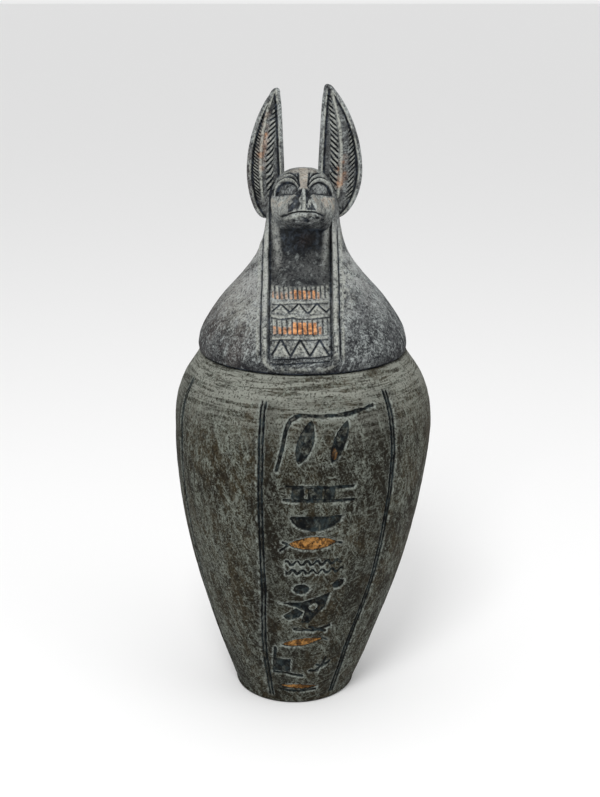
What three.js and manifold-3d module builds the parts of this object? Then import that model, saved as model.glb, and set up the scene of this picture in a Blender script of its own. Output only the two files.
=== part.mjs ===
// A stone canopic jar in two pieces: a hollow tapering jar, and a solid lid carved as a jackal-headed
// bust. Millimetres, +Z up, the face looks along -Y, and the origin is on the ground under the shoulder.
import * as THREE from "three";
import { mergeVertices } from "three/addons/utils/BufferGeometryUtils.js";
import Module from "manifold-3d";

// Jar: outer and inner profile, as radii at heights.
const jar = {
  height: 176.4,
  shoulderHeight: 137,
  shoulderRadius: 63.1,
  footRadius: 29.9,
  footEdge: 2, // rounding of the foot's edge
  rimRadius: 49.2,
  rimEdge: 1.2, // rounding of the rim's edge
  taper: 1.65, // exponent of the curve from shoulder to foot
  fall: 2.8, // exponent of the curve from shoulder to rim
  wall: 10,
  floor: 15,
  mouthRadius: 36,
  neckDepth: 9, // height of the straight mouth
  lean: 4.1, // the foot stands this far to -X of the shoulder, as carved by hand
  leanHeight: 140, // above this the jar stands straight
  leanCurve: 0.95, // exponent of the lean
  closingCurve: 10, // exponent of the inside's turn inwards under the mouth
  outsideSteps: 18,
  insideSteps: 9,
};

// Lid: what rests on the rim and the plug under it.
const seatGap = 0.3;
const lid = {
  seat: jar.height + seatGap,
  plugRadius: 34.4,
  plugDepth: 8,
  edge: 1, // bevel under the plug
};

// Bust and wig: radius at height, from the lower edge to the crown.
const wigProfile = [
  [48.6, lid.seat],
  [50.2, lid.seat + 1.6],
  [50.2, 183],
  [47.6, 190],
  [39.5, 202],
  [28.9, 214],
  [21.9, 224],
  [18.2, 236],
  [17.4, 245],
  [15.6, 254],
  [10.6, 260.6],
  [5, 262.9],
  [0, 263.4],
];

// Front opening between the two lappets. Its floor, from the lower edge up to the throat, is given as
// [height, y on the middle line, radius of its roundness across].
const opening = {
  x: -1.2,
  halfWidth: 14.9,
  front: -80, // the cut starts this far out, clear of the bust
  floor: [
    [180.6, -49.4, 50],
    [184, -48, 50],
    [190, -44.4, 46],
    [197, -38.4, 40],
    [204, -31.8, 33],
    [211, -25.4, 26],
    [218, -20.2, 19],
    [225, -17.2, 16],
    [233, -15.6, 15],
    [246, -14.8, 15],
  ],
};

// Head: sections from the back of the skull to the nose, [y, half width, top, bottom, narrowing upwards].
const headSections = [
  [9, 0, 249, 249, 0],
  [8.6, 9.5, 258, 236, 0],
  [7, 13.6, 261.4, 231, 0],
  [0, 15.2, 263.5, 229, 0],
  [-8, 15.2, 263.2, 230, 0.04],
  [-12.4, 14.8, 261.8, 233, 0.12],
  [-15.4, 14.2, 260.2, 236.4, 0.26],
  [-18.4, 13.4, 259.4, 238.6, 0.52],
  [-23, 12.4, 259, 240.2, 0.68],
  [-29, 11.3, 258.9, 241.2, 0.72],
  [-34.4, 10.4, 258.8, 242.2, 0.72],
  [-37.4, 9, 258, 243.8, 0.66],
  [-38.8, 5.4, 255.2, 246.8, 0.45],
  [-39.2, 0, 251.2, 251.2, 0],
];
const headCurve = { side: 0.82, top: 0.88 }; // exponents that square the sections a little

// Ears: a pointed leaf in front view, hollowed at the front. Each side has its own sizes, as carved.
const ear = {
  bottom: 239.5,
  widest: 262,
  upperPower: 1.6, // powers of the curve from the widest place to the tip
  upperCurve: 0.62,
  tipRound: 1.8, // radius of the blunt tip
  thinning: 0.7, // how the thickness follows the width
  tipThinning: 0.45, // share of the thickness lost by the tip
  back: 5.2,
  front: 3.4,
  frontCurve: 0.4,
  rim: 0.78, // share of the half width that the hollow takes
  hollow: 3,
  hollowCurve: 0.6,
  y: 0.6,
};
// mid and half: middle and half width at the widest place. bend: power of the middle's way to tipX.
// rootShift: the foot of the ear lies this far nearer the head. lowerCurve: power of the curve below.
const earSides = [
  { sign: -1, mid: 17.35, half: 8.75, tip: 299.2, tipX: 11.95, bend: 2.1, rootShift: 2.9, lowerCurve: 0.2 },
  { sign: 1, mid: 17.4, half: 10.3, tip: 301, tipX: 11.3, bend: 2.2, rootShift: 4.6, lowerCurve: 0.28 },
];

const jarSegments = 60;
const wigSegments = 52;
const tiny = 1e-6;
const stone = new THREE.MeshStandardMaterial({ color: 0x4a4b43, roughness: 0.72, metalness: 0 });
const darkStone = new THREE.MeshStandardMaterial({ color: 0x45474a, roughness: 0.68, metalness: 0 });

const wasm = await Module();
wasm.setup();

// A closed three.js geometry as a solid, and a solid back as a geometry.
function solidOf(geometry) {
  const bare = geometry.clone();
  bare.deleteAttribute("normal");
  bare.deleteAttribute("uv");
  const merged = mergeVertices(bare, 1e-3);
  return new wasm.Manifold(
    new wasm.Mesh({
      numProp: 3,
      vertProperties: merged.attributes.position.array,
      triVerts: new Uint32Array(merged.index.array),
    }),
  );
}

function geometryOf(solid) {
  const mesh = solid.getMesh();
  const geometry = new THREE.BufferGeometry();
  geometry.setAttribute("position", new THREE.BufferAttribute(mesh.vertProperties, 3));
  geometry.setIndex(new THREE.BufferAttribute(mesh.triVerts, 1));
  geometry.computeVertexNormals();
  return geometry;
}

// Turns a profile of [radius, height] about the Z axis.
function turned(points, segments) {
  const profile = points.map(([radius, height]) => new THREE.Vector2(radius, height));
  return new THREE.LatheGeometry(profile, segments).rotateX(Math.PI / 2);
}

// Moves every vertex of a geometry to where place(x, y, z) says.
function reshaped(geometry, place) {
  const position = geometry.getAttribute("position");
  const point = new THREE.Vector3();
  for (let i = 0; i < position.count; i++) {
    point.fromBufferAttribute(position, i);
    position.setXYZ(i, ...place(point.x, point.y, point.z));
  }
  return geometry;
}

// Points of an arc of a rounded edge, centre [radius, height], from one angle to another in degrees.
function arc(radius, height, size, from, to, steps = 3) {
  return Array.from({ length: steps + 1 }, (_, i) => {
    const angle = THREE.MathUtils.degToRad(from + ((to - from) * i) / steps);
    return [radius + size * Math.cos(angle), height + size * Math.sin(angle)];
  });
}

// The jar's outer radius: a power curve down to the foot, and a steeper one up to the rim.
function outerRadius(z) {
  const below = Math.max(0, jar.shoulderHeight - z) / jar.shoulderHeight;
  const above = Math.max(0, z - jar.shoulderHeight) / (jar.height - jar.shoulderHeight);
  return (
    jar.shoulderRadius -
    (jar.shoulderRadius - jar.footRadius) * below ** jar.taper -
    (jar.shoulderRadius - jar.rimRadius) * above ** jar.fall
  );
}

function makeJar() {
  const between = (from, to, count) =>
    Array.from({ length: count + 1 }, (_, i) => from + ((to - from) * i) / count);
  const rimBottom = jar.height - jar.rimEdge;
  const outside = between(jar.footEdge, rimBottom, jar.outsideSteps).map((z) => [outerRadius(z), z]);
  const neckBottom = jar.height - jar.neckDepth;
  const inside = between(jar.floor, neckBottom, jar.insideSteps).map((z) => {
    const nearMouth = (z - jar.floor) / (neckBottom - jar.floor);
    const narrowing = outerRadius(neckBottom) - jar.wall - jar.mouthRadius;
    const closing = narrowing * nearMouth ** jar.closingCurve;
    return [outerRadius(z) - jar.wall - closing, z];
  });
  const footCentre = outerRadius(jar.footEdge) - jar.footEdge;
  const rimCentre = outerRadius(rimBottom) - jar.rimEdge;
  const profile = [
    [0, 0],
    ...arc(footCentre, jar.footEdge, jar.footEdge, -90, -15),
    ...outside,
    ...arc(rimCentre, rimBottom, jar.rimEdge, 30, 90),
    [jar.mouthRadius, jar.height],
    ...inside.reverse(),
    [0, jar.floor],
  ];
  const lean = (z) => -jar.lean * Math.max(0, 1 - z / jar.leanHeight) ** jar.leanCurve;
  return reshaped(turned(profile, jarSegments), (x, y, z) => [x + lean(z), y, z]);
}

// A row of numbers between the rows of a table, at a place from 0 to 1 along it, on a smooth curve.
function smoothRow(table, at) {
  const place = at * (table.length - 1);
  const i = Math.min(table.length - 2, Math.floor(place));
  const t = place - i;
  const row = (k) => table[THREE.MathUtils.clamp(k, 0, table.length - 1)];
  return row(i).map((value, column) => {
    const next = row(i + 1)[column];
    const before = (next - row(i - 1)[column]) / 2;
    const after = (row(i + 2)[column] - value) / 2;
    const bend = (1 - t) * before * t * (1 - t) - t * after * t * (1 - t);
    return value + (next - value) * t * t * (3 - 2 * t) + bend;
  });
}

function makeWig() {
  const rows = 24;
  const curve = Array.from({ length: rows + 1 }, (_, i) => smoothRow(wigProfile, i / rows));
  curve[rows][0] = 0;
  const profile = [
    [0, lid.seat - lid.plugDepth],
    [lid.plugRadius - lid.edge, lid.seat - lid.plugDepth],
    [lid.plugRadius, lid.seat - lid.plugDepth + lid.edge],
    [lid.plugRadius, lid.seat],
    ...curve,
  ];
  return turned(profile, wigSegments);
}

// The space in front of the chest and throat, cut out between the lappets: a block whose far face is
// bent back from the middle line by x squared over twice the radius.
function makeOpening() {
  const columns = 8;
  const rows = 18;
  const block = new THREE.BoxGeometry(2, 2, 1, columns, 1, rows);
  return reshaped(block, (x, y, z) => {
    const [height, floorY, radius] = smoothRow(opening.floor, z + 0.5);
    const across = x * opening.halfWidth;
    return [opening.x + across, y < 0 ? opening.front : floorY + across ** 2 / (2 * radius), height];
  });
}

// Skull and muzzle in one: sections across Y, each a rounded box that narrows upwards on the muzzle.
function makeHead() {
  const ball = new THREE.SphereGeometry(1, 28, 22);
  const power = (value, exponent) => Math.sign(value) * Math.abs(value) ** exponent;
  return reshaped(ball, (x, y, z) => {
    const along = Math.acos(THREE.MathUtils.clamp(y, -1, 1)) / Math.PI;
    const [depth, half, top, bottom, narrowing] = smoothRow(headSections, along);
    const middle = (top + bottom) / 2;
    const size = Math.hypot(x, z);
    if (size < tiny) return [0, depth, middle];
    const side = power(x / size, headCurve.side);
    const rise = power(-z / size, headCurve.top);
    const width = half * (1 - (narrowing * (rise + 1)) / 2);
    return [width * side, depth, middle + ((top - bottom) / 2) * rise];
  });
}

// One ear: a leaf whose half width is a product of power curves, joined to a small round at the tip by
// the fourth root of their fourth powers. It is thick at the back and hollowed at the front.
function makeEar(side) {
  const ball = new THREE.SphereGeometry(1, 24, 17);
  return reshaped(ball, (x, y, z) => {
    const height = ear.bottom + ((1 + y) / 2) * (side.tip - ear.bottom);
    const above = Math.max(0, height - ear.widest) / (side.tip - ear.widest);
    const below = Math.max(0, ear.widest - height) / (ear.widest - ear.bottom);
    const upper = Math.max(0, 1 - above ** ear.upperPower) ** ear.upperCurve;
    const lower = Math.max(0, 1 - below ** 2) ** side.lowerCurve;
    const left = side.tip - height;
    const round = Math.sqrt(Math.max(0, left * (2 * ear.tipRound - left)));
    const half = ((side.half * upper * lower) ** 4 + round ** 4) ** 0.25;
    const mid = side.mid - (side.mid - side.tipX) * above ** side.bend - side.rootShift * below ** 2;
    const size = Math.hypot(x, z);
    const across = size < tiny ? 0 : x / size;
    const through = size < tiny ? 0 : z / size;
    const thin = (half / side.half) ** ear.thinning * (1 - ear.tipThinning * above);
    const sunk = ear.hollow * thin * Math.max(0, 1 - (across / ear.rim) ** 2) ** ear.hollowCurve;
    const bulge = -ear.front * thin * Math.abs(through) ** ear.frontCurve;
    const depth = through > 0 ? ear.back * thin * through : bulge + sunk;
    return [side.sign * (mid + half * across), ear.y + depth, height];
  });
}

function makeLid() {
  const faceOut = (geometry) => {
    const made = solidOf(geometry);
    return made.volume() < 0 ? solidOf(turnedInsideOut(geometry)) : made;
  };
  let body = faceOut(makeWig()).subtract(faceOut(makeOpening()));
  for (const piece of [makeHead(), ...earSides.map(makeEar)]) {
    body = body.add(faceOut(piece));
  }
  return geometryOf(body);
}

// Reverses the order of each triangle's corners, for a shape that a mirror turned round.
function turnedInsideOut(geometry) {
  const flipped = geometry.clone();
  const index = flipped.index.array;
  for (let i = 0; i < index.length; i += 3) {
    [index[i + 1], index[i + 2]] = [index[i + 2], index[i + 1]];
  }
  return flipped;
}

const canopicJar = new THREE.Group();
const jarMesh = new THREE.Mesh(makeJar(), stone);
jarMesh.name = "jar";
const lidMesh = new THREE.Mesh(makeLid(), darkStone);
lidMesh.name = "jackal_lid";
canopicJar.add(jarMesh, lidMesh);

export default canopicJar;
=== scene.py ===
# A carved stone canopic jar with a lift-off lid in the shape of a jackal-headed bust.
# Shapes are worked out in millimetres; putMesh turns them into metres at the end.
import math
import bpy
import numpy as np
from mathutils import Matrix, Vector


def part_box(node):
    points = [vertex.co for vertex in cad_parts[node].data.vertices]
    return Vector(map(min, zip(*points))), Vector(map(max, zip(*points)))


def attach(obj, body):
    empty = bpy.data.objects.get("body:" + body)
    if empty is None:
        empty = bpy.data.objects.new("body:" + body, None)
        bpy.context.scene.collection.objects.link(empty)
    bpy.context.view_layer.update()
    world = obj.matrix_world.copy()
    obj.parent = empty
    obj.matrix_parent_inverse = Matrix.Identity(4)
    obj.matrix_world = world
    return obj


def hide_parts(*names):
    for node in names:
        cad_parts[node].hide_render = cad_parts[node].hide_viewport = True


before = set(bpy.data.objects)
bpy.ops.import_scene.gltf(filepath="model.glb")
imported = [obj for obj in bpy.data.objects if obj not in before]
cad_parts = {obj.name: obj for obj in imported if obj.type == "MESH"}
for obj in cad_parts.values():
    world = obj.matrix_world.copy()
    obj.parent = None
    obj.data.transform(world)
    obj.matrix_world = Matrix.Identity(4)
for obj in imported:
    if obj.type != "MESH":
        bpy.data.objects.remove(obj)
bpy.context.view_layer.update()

toMetres = 0.001
jarLow, jarHigh = (np.array(corner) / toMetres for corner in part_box("jar"))
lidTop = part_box("jackal_lid")[1][2] / toMetres
print("frame loaded")


def smooth(value, start, end):  # 0 below start, 1 above end, an S-curve between
    t = np.clip((value - start) / (end - start), 0, 1)
    return t * t * (3 - 2 * t)


def bump(value, middle, width):  # 1 in the middle, 0 at width away on both sides
    return 1 - smooth(np.abs(value - middle), 0, width)


def along(table, place):  # row of a table at a place from 0 to 1, on a smooth curve through its rows
    table = np.asarray(table, float)
    spot = np.clip(np.asarray(place, float), 0, 1) * (len(table) - 1)
    i = np.minimum(spot.astype(int), len(table) - 2)
    t = (spot - i)[..., None]
    pick = lambda k: table[np.clip(k, 0, len(table) - 1)]
    a, b = pick(i), pick(i + 1)
    before = (b - pick(i - 1)) / 2
    after = (pick(i + 2) - a) / 2
    return a + (b - a) * t * t * (3 - 2 * t) + before * t * (1 - t) ** 2 - after * t * t * (1 - t)


def spread(density, low, high, count):  # count places from low to high, closer together where density is high
    fine = np.linspace(low, high, 4000)
    total = np.cumsum(density(fine))
    total = (total - total[0]) / (total[-1] - total[0])
    return np.interp(np.linspace(0, 1, count), total, fine)


def lengths(path):  # how far along a path of [a, b] points each of them is: the sum of the steps so far
    return np.concatenate([[0], np.cumsum(np.hypot(*np.diff(path, axis=0).T))])


def pointsAt(path, places):  # points at those lengths along a path, on the straight lines between its own
    return np.column_stack([np.interp(places, lengths(path), path[:, k]) for k in range(2)])


def evenly(path, count):  # count points at equal steps of length along a path
    return pointsAt(path, np.linspace(0, lengths(path)[-1], count))


latticeSize = 8192  # a power of two
latticeFactors = (73856093, 19349663, 83492791)


def grain(points, size, seed):  # value noise from -1 to 1: random numbers on a lattice, blended between
    table = np.random.default_rng(seed).random(latticeSize) * 2 - 1
    cell = points / size
    whole = np.floor(cell).astype(np.int64)
    part = cell - whole
    part = part * part * (3 - 2 * part)
    total = 0
    for corner in range(8):
        step = np.array([corner & 1, corner >> 1 & 1, corner >> 2 & 1])
        mixed = (whole + step) * np.array(latticeFactors)
        place = (mixed[..., 0] ^ mixed[..., 1] ^ mixed[..., 2]) & (latticeSize - 1)
        share = np.prod(np.where(step == 1, part, 1 - part), axis=-1)
        total = total + table[place] * share
    return total


def roughness(points, size, seed, octaves=3):  # a sum of grains, each half the size and height of the last
    return sum(grain(points, size / 2 ** k, seed + k) / 2 ** k for k in range(octaves))


def putMesh(name, points, marks):
    # A grid of rows and columns of points becomes a closed skin: neighbours are joined in quads, the last
    # column to the first, and the first and last rows are closed on their own middle points. Each mark is
    # one value for each point, kept as an attribute that the finish reads.
    rows, columns = points.shape[:2]
    corner = np.arange(rows * columns).reshape(rows, columns)
    right = np.roll(corner, -1, axis=1)
    quads = np.stack([corner[:-1], right[:-1], right[1:], corner[1:]], axis=-1).reshape(-1, 4)
    flat = points.reshape(-1, 3)
    middles = np.array([points[0].mean(axis=0), points[-1].mean(axis=0)])
    first, last = rows * columns, rows * columns + 1
    lower = np.column_stack([np.full(columns, first), right[0], corner[0]])
    upper = np.column_stack([np.full(columns, last), corner[-1], right[-1]])
    everyPoint = np.concatenate([flat, middles]) * toMetres
    loops = np.concatenate([quads.ravel(), lower.ravel(), upper.ravel()])
    sizes = np.concatenate([np.full(len(quads), 4), np.full(2 * columns, 3)])
    mesh = bpy.data.meshes.new(name)
    mesh.vertices.add(len(everyPoint))
    mesh.vertices.foreach_set("co", everyPoint.ravel())
    mesh.loops.add(len(loops))
    mesh.loops.foreach_set("vertex_index", loops.astype(np.int32))
    mesh.polygons.add(len(sizes))
    mesh.polygons.foreach_set("loop_start", np.concatenate([[0], np.cumsum(sizes)[:-1]]).astype(np.int32))
    mesh.polygons.foreach_set("loop_total", sizes.astype(np.int32))
    mesh.polygons.foreach_set("use_smooth", np.ones(len(sizes), bool))
    for label, values in marks.items():
        atMiddles = [values[0].mean(), values[-1].mean()]
        layer = mesh.attributes.new(label, "FLOAT", "POINT")
        layer.data.foreach_set("value", np.concatenate([values.ravel(), atMiddles]).astype(np.float32))
    mesh.update(calc_edges=True)
    mesh.validate()
    piece = bpy.data.objects.new(name, mesh)
    bpy.context.scene.collection.objects.link(piece)
    return piece


def thin(piece, most):  # merges the flattest neighbours until the piece has at most that many triangles
    triangles = sum(len(face.vertices) - 2 for face in piece.data.polygons)
    if triangles <= most:
        return
    lighter = piece.modifiers.new("lighter", "DECIMATE")
    lighter.ratio = most / triangles
    graph = bpy.context.evaluated_depsgraph_get()
    finished = bpy.data.meshes.new_from_object(piece.evaluated_get(graph))
    piece.modifiers.clear()
    piece.data = finished


# Carving marks: each gives the distance to its own edge in millimetres, negative inside.

farAway = 1e3


def toSegment(u, v, start, end):  # distance to the nearest place on a straight stretch
    (ax, ay), (bx, by) = start, end
    dx, dy = bx - ax, by - ay
    t = np.clip(((u - ax) * dx + (v - ay) * dy) / (dx * dx + dy * dy), 0, 1)
    return np.hypot(u - ax - t * dx, v - ay - t * dy)


def turned(u, v, middle, tilt):  # places measured from a mark's own middle, along and across its tilt
    turn = math.radians(tilt)
    a = (u - middle[0]) * math.cos(turn) + (v - middle[1]) * math.sin(turn)
    b = (v - middle[1]) * math.cos(turn) - (u - middle[0]) * math.sin(turn)
    return a, b


def line(u, v, points, width):  # a stroke along a path: the least distance, less half its width
    distance = np.full(u.shape, farAway)
    for start, end in zip(points[:-1], points[1:]):
        distance = np.minimum(distance, toSegment(u, v, start, end))
    return distance - width / 2


# A spindle: its half height falls from the middle by one minus the square of the way to the tip, raised
# to its fullness.
def leaf(u, v, middle, length, height, tilt=0, fullness=1):
    a, b = turned(u, v, middle, tilt)
    half = height / 2 * np.clip(1 - (2 * a / length) ** 2, 0, 1) ** fullness
    return np.maximum(np.abs(b) - half, np.abs(a) - length / 2)


def wave(u, v, span, height, swing, step, start, width):  # a sine line between two ends
    turn = 2 * math.pi * (u / step + start)
    steep = swing * 2 * math.pi / step * np.cos(turn)
    distance = np.abs(v - height - swing * np.sin(turn)) / np.sqrt(1 + steep ** 2) - width / 2
    return np.maximum(distance, np.maximum(span[0] - u, u - span[1]))


def pit(u, v, middle, width, height, tilt=0):  # an oval: how far out of it, times its smaller half width
    a, b = turned(u, v, middle, tilt)
    return (np.hypot(a / width * 2, b / height * 2) - 1) * min(width, height) / 2


def patch(u, v, points):  # a flat-sided shape, its corners in turn: inside where an odd number of sides cross
    inside = np.zeros(u.shape, bool)
    distance = np.full(u.shape, farAway)
    for start, end in zip(points, points[1:] + points[:1]):
        distance = np.minimum(distance, toSegment(u, v, start, end))
        (ax, ay), (bx, by) = start, end
        crosses = (ay > v) != (by > v)
        inside ^= crosses & (u < ax + (v - ay) * (bx - ax) / ((by - ay) or 1e-9))
    return np.where(inside, -distance, distance)


jar = dict(
    shoulderRadius=(jarHigh[1] - jarLow[1]) / 2,
    height=jarHigh[2],
    shoulderHeight=137,
    footRadius=29.9,
    footEdge=2.2,
    rimRadius=49.2,
    rimEdge=1.6,
    taper=1.65,  # how the wall falls away to the foot
    fall=2.8,  # how it falls away to the rim
    wall=10,
    floor=15,
    floorEdge=6,
    neck=9,  # the mouth's straight part
    mouthRadius=36,
    lean=4.1,  # the foot stands this far to -X
    leanHeight=140,
    leanPower=0.95,
    sway=0.35,  # height of the hand-made unevenness
    pecks=0.09,  # height of the pecked grain
    nicks=0.5,
    columns=560,
    rows=400,
    most=192000,
)

# The three inscribed strips: the angle of each one's middle from the front, and its half width.
strips = dict(
    middles=[12, -97, 136],
    half=29,
    low=(25, 80),  # where the strips begin to drift and narrow toward the foot
    drift=5,  # degrees, at the foot
    narrowing=1.5,
    top=169.5,
    pair=1.8,  # between the two grooves of a border
    groove=1.0,
    widerRight=0.4,  # the right-hand borders are cut wider
    depth=0.8,
    wobble=0.26,
    fray=0.22,
    columnShares=(1.5, 0.45, 0.45),  # extra columns of the mesh in each
)


def wallRadius(z):  # power curves from the shoulder down to the foot and up to the rim
    below = np.clip((jar["shoulderHeight"] - z) / jar["shoulderHeight"], 0, 1)
    above = np.clip((z - jar["shoulderHeight"]) / (jar["height"] - jar["shoulderHeight"]), 0, 1)
    return (
        jar["shoulderRadius"]
        - (jar["shoulderRadius"] - jar["footRadius"]) * below ** jar["taper"]
        - (jar["shoulderRadius"] - jar["rimRadius"]) * above ** jar["fall"]
    )


# Rows of strokes down a strip, around height z. Each returns [distance, depth, fill] for its marks, where
# fill is the share of ochre left in them.
def cornice(u, v, z):  # one long stroke that turns down at its left end
    bend = [(-25.2, z - 25), (-23, z - 16), (-20.6, z - 6), (-18.4, z - 2),
            (-14, z), (-5, z - 0.5), (8.5, z - 0.3), (21.5, z + 1.8)]
    return [(line(u, v, bend, 1.8), 1.0, 0)]


def seeds(u, v, z):  # two steep spindles
    left = leaf(u, v, (-12, z), 21, 7.4, tilt=71, fullness=0.75)
    right = leaf(u, v, (4, z - 0.5), 20.5, 6.2, tilt=67, fullness=0.75)
    corner = pit(u, v, (1.4, z - 5.5), 4.4, 8)  # the only paint left in the second one
    return [(left, 1.2, 0), (right, 1.2, 0), (np.maximum(right, corner), 1.2, 0.45)]


def rungs(u, v, z):  # two bars off level, with blocks sunk between them
    level = v + 0.035 * u
    marks = [
        (line(u, level, [(-20.3, z + 3.3), (11.2, z + 3.3)], 1.5), 0.9, 0),
        (line(u, level, [(-21, z - 3.5), (11.6, z - 3.5)], 1.7), 0.9, 0),
    ]
    for left, right, half, deep in ((-10, -3.6, 3, 1.1), (-2.6, 2.6, 3, 1.0), (-18, -12, 2.6, 0.35)):
        block = [(left, z - half), (right, z - half), (right, z + half), (left, z + half)]
        marks.append((patch(u, level, block), deep, 0))
    return marks


def hollow(u, v, z):  # the lower half of an oval
    bowl = np.maximum(pit(u, v, (-5.6, z + 3.8), 24.5, 15.5), v - z - 3.8)
    return [(bowl, 1.3, 0)]


def spindle(u, v, z):  # a lying spindle with a forked tail and a tip
    seed = leaf(u, v, (-6.5, z), 23, 7.2, tilt=1.5, fullness=0.8)
    tail = line(u, v, [(-21.5, z - 3.8), (-17.5, z - 0.6), (-20.5, z + 0.8)], 1.4)
    tip = line(u, v, [(3, z + 0.3), (7.4, z - 0.6)], 1.3)
    return [(seed, 0.9, 1), (tail, 0.7, 0), (tip, 0.7, 0)]


def ripples(u, v, z):  # two waves, one under the other
    upper = wave(u, v, (-19, 8.7), z + 2.4, 1.0, 4.8, 0, 1.4)
    lower = wave(u, v, (-18, 9.6), z - 2.5, 0.9, 4.7, 0.4, 1.4)
    return [(upper, 0.8, 0), (lower, 0.8, 0)]


def pits(u, v, z):  # two ovals
    left = pit(u, v, (-9.8, z - 0.6), 7.4, 5.6, tilt=-6)
    right = pit(u, v, (8, z + 1), 6, 4.4, tilt=28)
    return [(left, 0.8, 0), (right, 1.1, 0)]


def chisels(u, v, z):  # a wing round a raised island, a block under it and two scores
    wing = patch(u, v, [(-20.5, z + 5.4), (-9.5, z + 5.4), (4.6, z + 10.6), (2.4, z + 2), (-2.4, z - 3.4),
                        (-4.6, z - 7.4), (-8.4, z - 6.5), (-7, z + 0.5), (-13, z + 3.4)])
    island = pit(u, v, (-3.2, z + 2.6), 5, 3.4, tilt=30)
    corners = [(-17.6, z - 2.8), (-11.5, z + 2), (-7.6, z - 0.4), (-9.4, z - 3.6), (-14.6, z - 5.2)]
    block = patch(u, v, corners)
    upper = line(u, v, [(-11, z - 10.4), (-2, z - 11.8), (6, z - 9.6)], 1.6)
    lower = line(u, v, [(-4, z - 9.4), (4, z - 12.6)], 1.5)
    return [(np.maximum(wing, -island), 1.2, 0), (block, 1.1, 0), (upper, 0.8, 0), (lower, 0.7, 0)]


def slip(u, v, z):  # a thin spindle, tilted, with a short edge over it
    seed = leaf(u, v, (-6.4, z), 21, 5, tilt=9, fullness=0.8)
    edge = line(u, v, [(-2, z + 2.6), (3, z + 2), (6, z + 0.4)], 1.3)
    return [(seed, 0.9, 1), (edge, 0.6, 0)]


def square(u, v, z):  # an open frame round a shallow block, and a twig beside it
    border = line(u, v, [(-19.6, z + 8.8), (-18.9, z - 7.6), (-12, z - 7.8), (-4.6, z - 9.4)], 1.7)
    block = patch(u, v, [(-18.6, z - 6.6), (-10.8, z - 6.8), (-11.2, z + 2), (-18.8, z + 2)])
    twig = (
        [(6.6, z + 1.5), (4.8, z - 3.5), (2.2, z - 6.6)],
        [(8.6, z - 1.4), (5.4, z - 4.2)],
        [(2.4, z - 2.8), (5.4, z - 4.2)],
        [(-0.8, z - 6.2), (3, z - 7)],
    )
    return [(border, 1.0, 0), (block, 0.6, 0)] + [(line(u, v, path, 1.7), 0.7, 0) for path in twig]


def sliver(u, v, z):  # a very thin spindle with a stroke under it
    seed = leaf(u, v, (-5.2, z), 20, 3, tilt=-3, fullness=0.8)
    under = line(u, v, [(-14.5, z - 2.2), (-5, z - 3), (3.5, z - 2.4)], 1.4)
    return [(seed, 0.8, 1), (under, 0.6, 0)]


# Each strip's rows from the top down, with the height of each.
stripRows = [
    [(cornice, 161), (seeds, 149), (rungs, 124.3), (hollow, 109.4), (spindle, 99), (ripples, 86),
     (pits, 74.2), (chisels, 60.3), (slip, 41.3), (square, 28.4), (sliver, 11.2)],
    [(rungs, 156), (spindle, 144), (ripples, 133), (hollow, 119.5), (seeds, 99), (pits, 80),
     (spindle, 69), (square, 51), (ripples, 33), (sliver, 18)],
    [(hollow, 156), (ripples, 142), (spindle, 130), (pits, 119), (square, 103), (rungs, 84),
     (chisels, 64), (slip, 44), (ripples, 31), (sliver, 15)],
]


def carveWall(angle, z, radius, points):
    # Depth below the wall, and the marks that the stone's finish reads: in every groove and stroke, an
    # S-curve of the distance to its frayed edge, and outside the edge a worn line.
    depth, dark, ochre, worn, shade = (np.zeros(z.shape) for _ in range(5))
    wobble = roughness(points, 7, 5) * strips["wobble"]
    fray = roughness(points, 1.3, 9, 2) * strips["fray"]
    bed = 0.72 + 0.3 * roughness(points, 1.5, 11, 2)  # the cut floors are left rough
    broken = smooth(grain(points, 3, 13) + grain(points, 9, 14), -0.55, 0.15)
    dashes = smooth(grain(points, 1.5, 15), 0, 0.4)
    for middle, rows in zip(strips["middles"], stripRows):
        turn = (angle - middle + 180) % 360 - 180
        low = 1 - smooth(z, *strips["low"])
        drawn = turn + strips["drift"] * low * (middle == strips["middles"][0])  # the front strip's own lean
        side = np.radians(np.abs(drawn) - strips["half"] + strips["narrowing"] * low) * radius + wobble * 0.7
        start = smooth(strips["top"] - z + grain(points, 14, 3) * 2, 0, 3) * smooth(z, 2.5, 5)
        wide = strips["groove"] + strips["widerRight"] * (drawn > 0)
        for place in (0, strips["pair"]):
            edge = np.abs(side - place) - wide / 2 + fray
            cut = smooth(-edge, -0.35, 0.35) * start
            depth = np.maximum(depth, cut * strips["depth"])
            dark = np.maximum(dark, cut)
            worn = np.maximum(worn, smooth(0.8 - edge, 0, 0.6) * start * (1 - cut) * broken * 0.6)
        dark = np.maximum(dark, bump(side, strips["pair"] / 2, strips["pair"]) * start * 0.55)
        shade = np.maximum(shade, start * (0.45 * bump(side, 0, 9) + 0.25 * (side < 0)))
        worn = np.maximum(worn, bump(side, strips["pair"] + 1.2, 0.9) * start * dashes * 0.9)
        near = np.abs(turn) < strips["half"] + 3
        u = np.radians(turn[near]) * radius[near]
        v = z[near]
        rough = (wobble + fray)[near]
        for row, height in rows:
            for distance, deep, fill in row(u, v, height):
                edge = distance + rough
                cut = smooth(-edge, -0.35, 0.4)
                depth[near] = np.maximum(depth[near], cut * deep * (0.8 + 0.25 * bed[near]))
                dark[near] = np.maximum(dark[near], cut * np.maximum(bed[near], smooth(edge, -0.9, -0.2)))
                ochre[near] = np.maximum(ochre[near], smooth(-edge, 0.1, 0.7) * fill)
                worn[near] = np.maximum(worn[near], smooth(1.0 - edge, 0, 0.8) * (1 - cut) * broken[near])
    return depth, dark, ochre, worn, shade * (0.4 + 0.6 * broken)


def rounding(across, height, radius, start, end):  # points on an arc from one angle to another, in degrees
    sweep = np.radians(np.linspace(start, end, 8))
    return np.column_stack([across + radius * np.cos(sweep), height + radius * np.sin(sweep)])


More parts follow.
